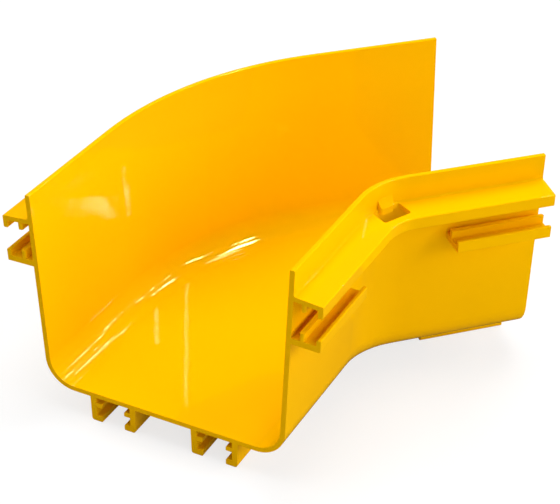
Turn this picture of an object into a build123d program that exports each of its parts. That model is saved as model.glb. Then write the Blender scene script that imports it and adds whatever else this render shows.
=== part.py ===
# A 45 degree horizontal elbow for a plastic fibre raceway, moulded in one piece.
#
# An open-top trough of U section runs straight in from the near mouth, turns to the right seen
# from above, and runs straight out to the far mouth. A ledge with a downturned skirt follows the
# outside of both walls below the rim. Near the middle of the bend each ledge has a notch, and a
# wedge-shaped catch on the wall reaches into it and leads the cover's hook past. Near each mouth,
# shelves under the ledges and C-shaped rails under the floor make the slots that take the joiner
# plates.
#
# Millimetres, +Z up. The origin is the middle of the near mouth, on the underside of the floor.
# +Y runs into the fitting and +X points to the inside of the bend. The far mouth is the mirror
# image of the near one, about the upright plane halfway round the bend, and only the latches sit
# a little past that plane.

import os
from math import cos, radians, sin, tan

from build123d import *

# Trough
duct_height = 100.0  # underside of the floor to the rim
base_width = 122.5  # over the walls, where their outer faces would meet the floor's underside
wall = 2.4
wall_draft = 2.6  # degrees that each wall leans out towards the rim
inner_corner = 12.2  # radius between floor and wall inside the trough

# Route
leg_length = 67.5  # straight run from a mouth to the start of the bend
bend_radius = 100.0  # at the middle of the trough
bend_angle = 45.0  # degrees

# Cover ledge
ledge_drop = 12.6  # rim down to the top of the ledge at the wall
ledge_width = 13.7
ledge_fall = 1.2  # how far the ledge slopes down over its width
ledge_thickness = 2.2
skirt_height = 5.9  # over the ledge's edge
skirt_thickness = 2.3

# Side rails for the joiner plates, under the ledges
rail_length = 46.0
slot_height = 18.8  # ledge down to foot, at the wall
foot_width = 13.7
foot_fall = 0.35
foot_thickness = 3.0
lip_height = 6.0  # over the foot's edge
lip_thickness = 2.0
rib_gap = 3.65  # wall to rib
rib_thickness = 2.4
upper_rib_drop = 4.1  # below the ledge's underside at the wall
lower_rib_rise = 3.9  # above the top of the foot at the wall

# C-shaped rails under the floor
floor_rail_length = 44.0
floor_rail_pitch = 53.0  # middle of one rail to middle of the other
floor_rail_width = 24.0  # over the two legs
leg_thickness = 3.0
leg_draft = 1.5  # degrees, outer faces
toe_thickness = 3.0
toe_reach = 3.1  # toe and hook, in from the leg
slot_clearance = 4.9  # toe up to the hook
hook_drop = 5.3  # floor down to the underside of the hook
hook_thickness = 2.3

# Cover latches
latch_shift = 3.5  # degrees past the middle of the bend, seen from the near mouth
notch_length = 15.4
notch_start = 1.2  # wall out to the near side of the notch
notch_reach = 10.0  # wall out to its far side
catch_length = 8.0
catch_reach = 2.7  # wall out to the catch's front
catch_land = 0.9  # upright face in front, above the ledge
catch_height = 8.0  # ledge up to the wedge's tip, in the middle of the wall
catch_drop = 2.0  # ledge down to the catch's underside

# Rounding
edge_round = 0.5
ledge_root_round = 1.2
rail_corner_round = 1.2
notch_corner_round = 1.2
catch_corner_round = 1.5
rib_nose_round = 0.9

lean = tan(radians(wall_draft))
half_turn = bend_angle / 2
ledge_level = duct_height - ledge_drop
ledge_underside = ledge_level - ledge_thickness
foot_top = ledge_underside - slot_height
foot_level = foot_top - foot_thickness
rail_depth = hook_drop + slot_clearance + toe_thickness
bend_axis = Axis((bend_radius, leg_length, 0), (0, 0, -1))


def station(angle):
    """The plane across the trough at an angle round the bend, with x to the inside and y up."""
    across = (cos(radians(angle)), -sin(radians(angle)), 0)
    along = (sin(radians(angle)), cos(radians(angle)), 0)
    return Plane(
        origin=(
            bend_radius - bend_radius * across[0],
            leg_length + bend_radius * along[0],
            0,
        ),
        x_dir=across,
        z_dir=tuple(-value for value in along),
    )


def wall_face(height):
    """Distance from the trough's middle plane to the outer face of a wall, at a height."""
    return base_width / 2 + height * lean


def eased(thickness):
    """The usual edge rounding, limited where the material is thin."""
    return min(edge_round, thickness / 3)


def trough_section():
    """The U of floor and walls, of one thickness all round, cut off level at the rim."""
    path_top = duct_height + wall
    with BuildSketch() as trough:
        with BuildLine() as outside:
            Polyline(
                (-wall_face(path_top), path_top),
                (-base_width / 2, 0),
                (base_width / 2, 0),
                (wall_face(path_top), path_top),
            )
            fillet(outside.vertices().filter_by(lambda v: v.Y < wall), inner_corner + wall)
            offset(amount=wall, side=Side.LEFT)
        make_face()
        Rectangle(
            2 * wall_face(path_top),
            duct_height,
            align=(Align.CENTER, Align.MIN),
            mode=Mode.INTERSECT,
        )
        fillet(trough.vertices().group_by(Axis.Y)[-1], eased(wall))
    return trough.sketch


def shelf_section(level, fall, reach, thickness, lip, lip_depth, way):
    """A shelf standing out from the inner wall, with a lip along its free edge.

    level is the height of the shelf's plain side at the wall. The shelf's thickness and the lip
    go up from there where way is 1, and down where it is -1.
    """
    lip_side = level + way * thickness
    root = wall_face(level) - wall / 2
    tip = wall_face(level - fall) + reach
    lip_tip = tip + way * lip_depth * lean
    with BuildSketch() as shelf:
        with BuildLine():
            Polyline(
                (root, level),
                (wall_face(level), level),
                (tip, level - fall),
                (lip_tip, level - fall + way * lip_depth),
                (lip_tip - lip, level - fall + way * lip_depth),
                (tip - lip, lip_side - fall),
                (wall_face(lip_side), lip_side),
                (root, lip_side),
                close=True,
            )
        make_face()
        free_corners = shelf.vertices().filter_by(lambda v: v.X > wall_face(level) + reach / 2)
        fillet(free_corners, eased(min(lip, thickness)))
    return shelf.sketch


def rib_section(bottom, top):
    """An upright rib beside the inner wall, leaning as the wall does."""
    with BuildSketch() as rib:
        with BuildLine():
            Polyline(
                (wall_face(bottom) + rib_gap, bottom),
                (wall_face(bottom) + rib_gap + rib_thickness, bottom),
                (wall_face(top) + rib_gap + rib_thickness, top),
                (wall_face(top) + rib_gap, top),
                close=True,
            )
        make_face()
    return rib.sketch


def side_rib(bottom, top):
    """A rib as long as the side rail, with a rounded nose at the mouth."""
    with BuildPart() as rib:
        with BuildSketch(Plane.XZ):
            add(rib_section(bottom, top))
        extrude(amount=-rail_length)
        mouth_edges = rib.edges().group_by(Axis.Y)[0]
        nose_edges = mouth_edges.filter_by(lambda edge: abs(edge.tangent_at(0).Z) > 0.5)
        fillet(nose_edges, min(rib_nose_round, rib_thickness * 0.45))
    return rib.part


def floor_rail_section():
    """One C-rail: two legs facing each other, each with a toe below and a hook above."""
    leg_face = floor_rail_width / 2
    leg_inside = leg_face - leg_thickness
    tip = leg_inside - toe_reach
    foot_face = leg_face - rail_depth * tan(radians(leg_draft))
    with BuildSketch() as rail:
        with BuildLine():
            Polyline(
                (leg_face, 0),
                (foot_face, -rail_depth),
                (tip, -rail_depth),
                (tip, toe_thickness - rail_depth),
                (leg_inside, toe_thickness - rail_depth),
                (leg_inside, -hook_drop),
                (tip, -hook_drop),
                (tip, hook_thickness - hook_drop),
                (leg_inside, hook_thickness - hook_drop),
                (leg_inside, wall / 2),
                (leg_face, wall / 2),
                close=True,
            )
        make_face()
        foot_corner = rail.vertices().sort_by_distance((foot_face, -rail_depth))[0]
        fillet(foot_corner, min(rail_corner_round, toe_thickness / 2))
        tips = rail.vertices().filter_by(lambda v: v.X < tip + edge_round / 2)
        fillet(tips, eased(min(hook_thickness, toe_thickness)))
        mirror(about=Plane.YZ)
    return rail.sketch


def latch_plane(height):
    """A level plane at the middle of the latches, with x to the inside of the bend."""
    across = station(half_turn + latch_shift)
    return Plane(origin=across.origin + Vector(0, 0, height), x_dir=across.x_dir, z_dir=(0, 0, 1))


def notch_room(side):
    """What a notch takes out of the ledge on one side."""
    width = notch_reach - notch_start
    middle = wall_face(ledge_level) + notch_start + width / 2
    bottom = ledge_underside - ledge_fall - ledge_thickness
    top = ledge_level + ledge_thickness
    with BuildPart() as room:
        with BuildSketch(latch_plane(bottom)):
            with Locations((side * middle, 0)):
                RectangleRounded(width, notch_length, min(notch_corner_round, width / 3))
        extrude(amount=top - bottom)
    return room.part


def catch_wedge(side):
    """A catch: a block with two rounded corners, cut to a wedge that tapers away upwards."""
    back = wall_face(ledge_level) - wall / 2
    front = wall_face(ledge_level) + catch_reach
    bottom = ledge_level - catch_drop
    top = ledge_level + catch_height
    with BuildPart() as wedge:
        with BuildSketch(latch_plane(bottom)) as footprint:
            with Locations((side * (back + front) / 2, 0)):
                Rectangle(front - back, catch_length)
            front_corners = footprint.vertices().sort_by(Axis.X, reverse=side > 0)[:2]
            fillet(front_corners, min(catch_corner_round, catch_length / 3))
        extrude(amount=top - bottom)
        with BuildSketch(station(half_turn + latch_shift)):
            with BuildLine():
                Polyline(
                    (side * back, bottom),
                    (side * front, bottom),
                    (side * front, ledge_level + catch_land),
                    (side * back, top),
                    close=True,
                )
            make_face()
        extrude(amount=catch_length / 2, both=True, mode=Mode.INTERSECT)
    return wedge.part


ledge = shelf_section(
    ledge_level, ledge_fall, ledge_width, ledge_thickness, skirt_thickness, skirt_height, -1
)
foot = shelf_section(
    foot_level, foot_fall, foot_width, foot_thickness, lip_thickness, lip_height, 1
)
upper_rib = side_rib(ledge_underside - upper_rib_drop, ledge_underside + ledge_thickness / 2)
lower_rib = side_rib(foot_top - foot_thickness / 2, foot_top + lower_rib_rise)

# The foot and the two ribs that hang a joiner plate from the inner wall
with BuildPart() as side_rail:
    with BuildSketch(Plane.XZ):
        add(foot)
    extrude(amount=-rail_length)
    add(upper_rib)
    add(lower_rib)

notches = [notch_room(side) for side in (-1, 1)]
catches = [catch_wedge(side) for side in (-1, 1)]
rail_section = floor_rail_section()

with BuildPart() as elbow:
    # Trough and cover ledges, along the straight leg and halfway round the bend
    with BuildSketch(station(0)) as section:
        add(trough_section())
        add(ledge)
        mirror(ledge, about=Plane.YZ)
        for side in (-1, 1):
            root = section.vertices().sort_by_distance((side * wall_face(ledge_level), ledge_level))
            fillet(root[0], ledge_root_round)
    extrude(section.sketch, amount=leg_length)
    revolve(section.sketch, axis=bend_axis, revolution_arc=half_turn)

    # Joiner rails at the near mouth
    add(side_rail.part)
    mirror(side_rail.part, about=Plane.YZ)
    with BuildSketch(Plane.XZ) as floor_rails:
        with GridLocations(floor_rail_pitch, 0, 2, 1):
            add(rail_section)
    extrude(floor_rails.sketch, amount=-floor_rail_length)

    # The far half, and the latches near the middle
    mirror(about=station(half_turn))
    for notch in notches:
        add(notch, mode=Mode.SUBTRACT)
    for catch in catches:
        add(catch)

os.makedirs("parts", exist_ok=True)
elbow.part.label = "raceway_elbow"
export_step(elbow.part, "parts/raceway_elbow.step")
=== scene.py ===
from math import pi, radians, tan

import bpy
from mathutils import Matrix, Vector


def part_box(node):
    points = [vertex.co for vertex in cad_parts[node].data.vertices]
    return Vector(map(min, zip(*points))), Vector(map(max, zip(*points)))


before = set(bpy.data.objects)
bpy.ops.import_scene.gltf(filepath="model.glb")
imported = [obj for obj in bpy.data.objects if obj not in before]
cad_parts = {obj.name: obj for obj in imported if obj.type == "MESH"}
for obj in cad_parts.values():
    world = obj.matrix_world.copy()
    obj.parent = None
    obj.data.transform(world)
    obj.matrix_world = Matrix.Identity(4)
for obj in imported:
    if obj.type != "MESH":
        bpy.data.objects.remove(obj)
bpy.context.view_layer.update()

# Metres and degrees throughout. An azimuth of a lamp turns from +Y towards +X.

# Camera, as the photograph was taken
CAMERA_AIM = Vector((0.01824, 0.08045, 0.050))
CAMERA_DISTANCE = 0.7753
CAMERA_AZIMUTH = 26.79  # from -Y towards +X
CAMERA_ELEVATION = 32.46
CAMERA_ROLL = 0.42
CAMERA_LENS = 106.46
SENSOR_WIDTH = 36.0

# Plastic
PLASTIC_COLOUR = (0.95, 0.5, 0.0)
PLASTIC_ROUGHNESS = 0.04
PLASTIC_IOR = 1.5
PLASTIC_SPECULAR = 0.45
PLASTIC_SPECULAR_TINT = (1.0, 0.9, 0.25, 1.0)
TINT_SCALE = 9.0  # patches of the uneven tint in a metre
TINT_DARKEST = 0.97  # share of the plastic's colour in the darkest patches
TINT_RAMP = (0.3, 0.7)  # noise levels of the darkest and the lightest patches
WAVE_SCALE = 45.0  # broad waves of the moulded surface in a metre
WAVE_HEIGHT = 0.00015
SKIN_SCALE = 900.0  # fine grains in a metre
SKIN_HEIGHT = 0.000002
SKIN_STRENGTH = 0.3

# Floor and surround
FLOOR_SIZE = 6.0
FLOOR_COLOUR = (0.6, 0.6, 0.6, 1.0)
FLOOR_SEEN_COLOUR = (0.9, 0.9, 0.9, 1.0)
FLOOR_WHITE_SHARE = 0.75  # of what the camera sees of the floor, as a plain white
WHITE = (1.0, 1.0, 1.0, 1.0)
WORLD_STRENGTH = 0.08
WORLD_GLOSS_STRENGTH = 0.03  # what the plastic mirrors of the surround

# Lamps
LAMP_AIM = Vector((0.03, 0.09, 0.05))
LAMP_DISTANCE = 2.5
BROAD_SIZE = (28, 28)
# name, azimuth, elevation, radiance
BROAD_LAMPS = (
    ("top", 90, 90, 5.52),
    ("back", 0, 58, 5.25),
    ("right_back", 45, 22, 6.23),
    ("right", 90, 22, 5.16),
    ("right_front", 135, 22, 2.94),
    ("left_front", 240, 58, 2.05),
    ("left", 285, 22, 5.2),
)
# azimuth, elevation, (width, height), radiance
GLINTS = (
    (35.5, 34.0, (1.6, 1.6), 50.0),
    (39.5, 36.8, (1.6, 1.2), 80.0),
    (44.5, 38.7, (2.2, 1.2), 100.0),
    (35.0, 26.3, (0.8, 0.5), 45.0),
    (36.2, 26.0, (0.6, 0.5), 35.0),
    (39.7, 25.6, (1.0, 0.9), 60.0),
    (22.0, 49.0, (3.0, 3.0), 70.0),
    (19.5, 46.5, (1.5, 1.5), 60.0),
    (-2.0, 48.0, (1.2, 3.0), 50.0),
    (60.0, 39.0, (1.2, 9.0), 130.0),
    (39.0, 61.0, (11.0, 4.0), 80.0),
    (70.0, 52.0, (5.0, 3.0), 120.0),
    (200.0, 55.0, (30.0, 4.0), 20.0),
    (290.0, 50.0, (30.0, 4.0), 20.0),
)


def shader(tree, kind, **inputs):
    """A shader node with its sockets set by name; underscores stand for spaces."""
    node = tree.nodes.new(kind)
    for name, value in inputs.items():
        node.inputs[name.replace("_", " ")].default_value = value
    return node


def new_material(name):
    material = bpy.data.materials.new(name)
    material.use_nodes = True
    material.node_tree.nodes.clear()
    return material, material.node_tree


def moulded_plastic():
    """Glossy injection-moulded plastic: a faint uneven tint, broad waves and a fine skin."""
    material, tree = new_material("yellow_plastic")
    link = tree.links.new
    output = tree.nodes.new("ShaderNodeOutputMaterial")
    plastic = shader(
        tree,
        "ShaderNodeBsdfPrincipled",
        Roughness=PLASTIC_ROUGHNESS,
        IOR=PLASTIC_IOR,
        Specular_IOR_Level=PLASTIC_SPECULAR,
        Specular_Tint=PLASTIC_SPECULAR_TINT,
    )
    link(plastic.outputs["BSDF"], output.inputs["Surface"])
    place = tree.nodes.new("ShaderNodeTexCoord")

    tint = shader(tree, "ShaderNodeTexNoise", Scale=TINT_SCALE, Detail=2.0)
    link(place.outputs["Object"], tint.inputs["Vector"])
    colour = tree.nodes.new("ShaderNodeValToRGB")
    dark, light = colour.color_ramp.elements
    dark.position, light.position = TINT_RAMP
    dark.color = (*(TINT_DARKEST * channel for channel in PLASTIC_COLOUR), 1.0)
    light.color = (*PLASTIC_COLOUR, 1.0)
    link(tint.outputs["Fac"], colour.inputs["Fac"])
    link(colour.outputs["Color"], plastic.inputs["Base Color"])

    waves = shader(tree, "ShaderNodeTexNoise", Scale=WAVE_SCALE, Detail=1.0)
    link(place.outputs["Object"], waves.inputs["Vector"])
    broad = shader(tree, "ShaderNodeBump", Strength=1.0, Distance=WAVE_HEIGHT)
    link(waves.outputs["Fac"], broad.inputs["Height"])
    skin = shader(tree, "ShaderNodeTexNoise", Scale=SKIN_SCALE, Detail=2.0)
    link(place.outputs["Object"], skin.inputs["Vector"])
    fine = shader(tree, "ShaderNodeBump", Strength=SKIN_STRENGTH, Distance=SKIN_HEIGHT)
    link(skin.outputs["Fac"], fine.inputs["Height"])
    link(broad.outputs["Normal"], fine.inputs["Normal"])
    link(fine.outputs["Normal"], plastic.inputs["Normal"])
    return material


def studio_floor(level):
    """A pale floor that keeps the shadow, and that the camera sees as nearly white."""
    bpy.ops.mesh.primitive_plane_add(size=FLOOR_SIZE, location=(0, 0, level))
    floor = bpy.context.object
    floor.name = "studio_floor"
    material, tree = new_material("studio_floor")
    link = tree.links.new
    output = tree.nodes.new("ShaderNodeOutputMaterial")
    path = tree.nodes.new("ShaderNodeLightPath")
    colour = tree.nodes.new("ShaderNodeMix")
    colour.data_type = "RGBA"
    colour.inputs["A"].default_value = FLOOR_COLOUR
    colour.inputs["B"].default_value = FLOOR_SEEN_COLOUR
    link(path.outputs["Is Camera Ray"], colour.inputs["Factor"])
    diffuse = tree.nodes.new("ShaderNodeBsdfDiffuse")
    link(colour.outputs["Result"], diffuse.inputs["Color"])
    white = shader(tree, "ShaderNodeEmission", Color=WHITE, Strength=1.0)
    share = tree.nodes.new("ShaderNodeMath")
    share.operation = "MULTIPLY"
    share.inputs[1].default_value = FLOOR_WHITE_SHARE
    mix = tree.nodes.new("ShaderNodeMixShader")
    link(path.outputs["Is Camera Ray"], share.inputs[0])
    link(share.outputs["Value"], mix.inputs["Fac"])
    link(diffuse.outputs["BSDF"], mix.inputs[1])
    link(white.outputs["Emission"], mix.inputs[2])
    link(mix.outputs["Shader"], output.inputs["Surface"])
    floor.data.materials.append(material)
    floor.visible_glossy = False


def studio_world():
    """An even dim surround that the camera sees as white."""
    world = bpy.data.worlds.new("studio")
    world.use_nodes = True
    tree = world.node_tree
    background = tree.nodes["Background"]
    background.inputs["Color"].default_value = WHITE
    path = tree.nodes.new("ShaderNodeLightPath")
    mirrored = tree.nodes.new("ShaderNodeMapRange")
    mirrored.inputs["To Min"].default_value = WORLD_STRENGTH
    mirrored.inputs["To Max"].default_value = WORLD_GLOSS_STRENGTH
    tree.links.new(path.outputs["Is Glossy Ray"], mirrored.inputs["Value"])
    seen = tree.nodes.new("ShaderNodeMapRange")
    seen.inputs["To Max"].default_value = 1.0
    tree.links.new(path.outputs["Is Camera Ray"], seen.inputs["Value"])
    tree.links.new(mirrored.outputs["Result"], seen.inputs["To Min"])
    tree.links.new(seen.outputs["Result"], background.inputs["Strength"])
    bpy.context.scene.world = world


def softbox(name, azimuth, elevation, size, radiance, mirrored):
    """A rectangular lamp that faces the object.

    size is the lamp's width and height in degrees as the object sees it, and radiance is what a
    mirror would show. A mirrored lamp gives only highlights, and any other only matt light.
    """
    turn = (
        Matrix.Rotation(radians(180 - azimuth), 4, "Z")
        @ Matrix.Rotation(radians(90 - elevation), 4, "X")
    )
    lamp = bpy.data.lights.new(name, "AREA")
    lamp.shape = "RECTANGLE"
    lamp.size, lamp.size_y = (2 * LAMP_DISTANCE * tan(radians(angle / 2)) for angle in size)
    lamp.energy = radiance * pi * lamp.size * lamp.size_y
    holder = bpy.data.objects.new(name, lamp)
    bpy.context.scene.collection.objects.link(holder)
    away = turn @ Vector((0, 0, LAMP_DISTANCE))
    holder.matrix_world = Matrix.Translation(LAMP_AIM + away) @ turn
    holder.visible_glossy = mirrored
    holder.visible_diffuse = not mirrored


def photograph_camera():
    data = bpy.data.cameras.new("camera")
    data.lens = CAMERA_LENS
    data.sensor_width = SENSOR_WIDTH
    camera = bpy.data.objects.new("camera", data)
    bpy.context.scene.collection.objects.link(camera)
    turn = (
        Matrix.Rotation(radians(CAMERA_AZIMUTH), 4, "Z")
        @ Matrix.Rotation(radians(90 - CAMERA_ELEVATION), 4, "X")
    )
    back = turn @ Vector((0, 0, CAMERA_DISTANCE))
    roll = Matrix.Rotation(radians(CAMERA_ROLL), 4, "Z")
    camera.matrix_world = Matrix.Translation(CAMERA_AIM + back) @ turn @ roll
    bpy.context.scene.camera = camera


plastic = moulded_plastic()
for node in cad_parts.values():
    node.data.materials.clear()
    node.data.materials.append(plastic)

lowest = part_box("raceway_elbow")[0]
studio_floor(lowest.z)
studio_world()
for name, azimuth, elevation, radiance in BROAD_LAMPS:
    softbox(name, azimuth, elevation, BROAD_SIZE, radiance, mirrored=False)
for number, (azimuth, elevation, size, radiance) in enumerate(GLINTS, 1):
    softbox(f"glint_{number}", azimuth, elevation, size, radiance, mirrored=True)
photograph_camera()
bpy.context.scene.view_settings.view_transform = "Standard"
